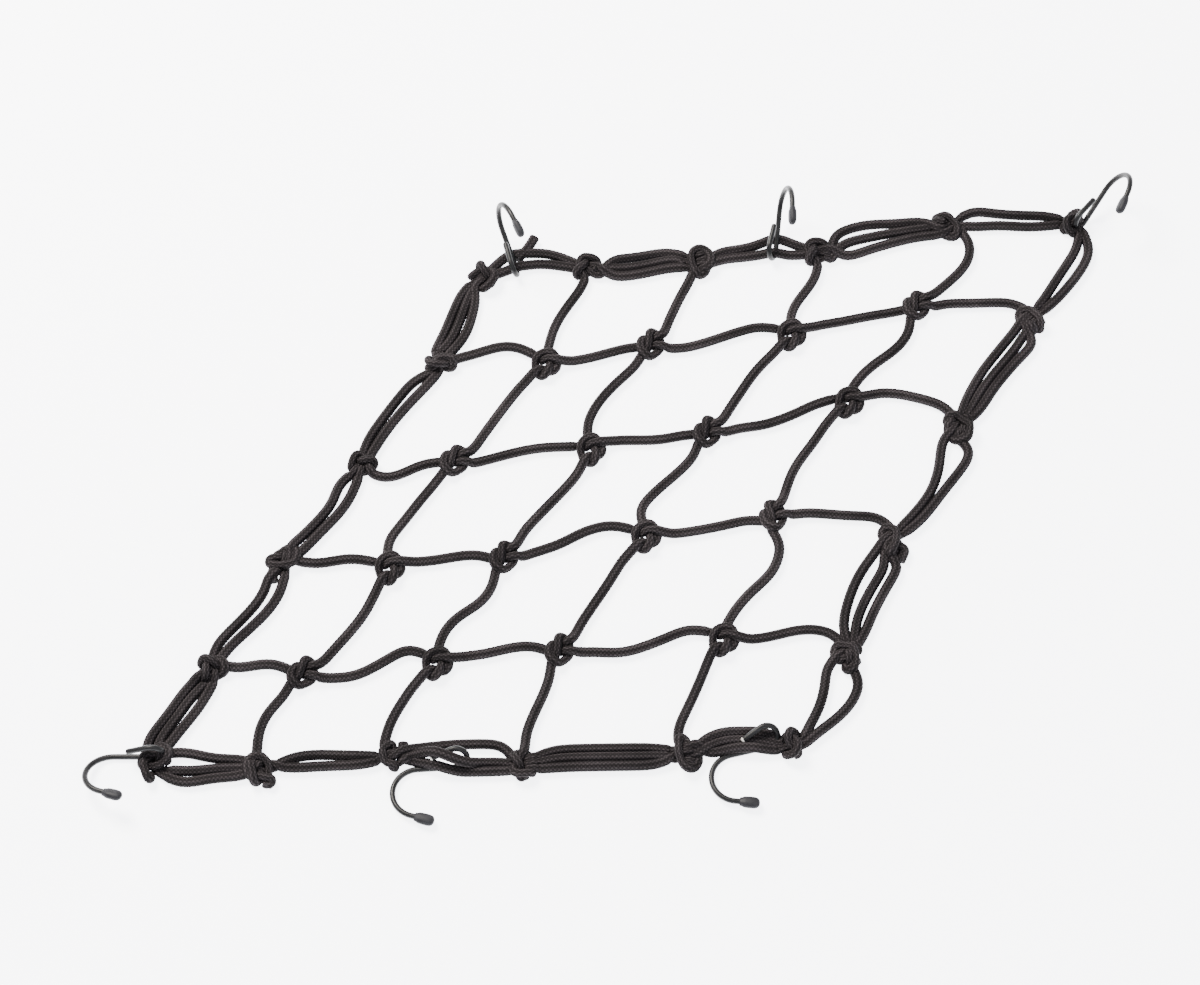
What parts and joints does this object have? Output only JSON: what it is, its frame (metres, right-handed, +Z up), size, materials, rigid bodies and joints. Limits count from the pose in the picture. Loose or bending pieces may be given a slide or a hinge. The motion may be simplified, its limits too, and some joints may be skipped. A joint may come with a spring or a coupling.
{
  "type": "luggage net",
  "caption": "Knotted elastic cord net with a bundled border and wire hooks with soft tips, lying slack on a flat surface.",
  "frame": {"origin": "middle of the laid-out net with its hooks, on the surface that it lies on", "axes": "+Z up from the surface, +X to the right along the rows of knots, +Y towards the side with three hooks"},
  "size_m": [0.588, 0.4035, 0.0405],
  "materials": {
    "border_cord": "matte braided polyester over elastic",
    "mesh_cord": "matte braided polyester over elastic",
    "hook_wire": "semi-gloss black coating on steel wire",
    "hook_tip": "soft vinyl, satin"
  },
  "bodies": {
    "root": {"border_cord": "border_cord", "mesh_cord": "mesh_cord", "hook_far_left": "hook_wire", "hook_far_middle": "hook_wire", "hook_far_right": "hook_wire", "hook_near_left": "hook_wire", "hook_near_right": "hook_wire", "hook_left": "hook_wire", "tip_far_left": "hook_tip", "tip_far_middle": "hook_tip", "tip_far_right": "hook_tip", "tip_near_left": "hook_tip", "tip_near_right": "hook_tip", "tip_left": "hook_tip"}
  },
  "joints": []
}
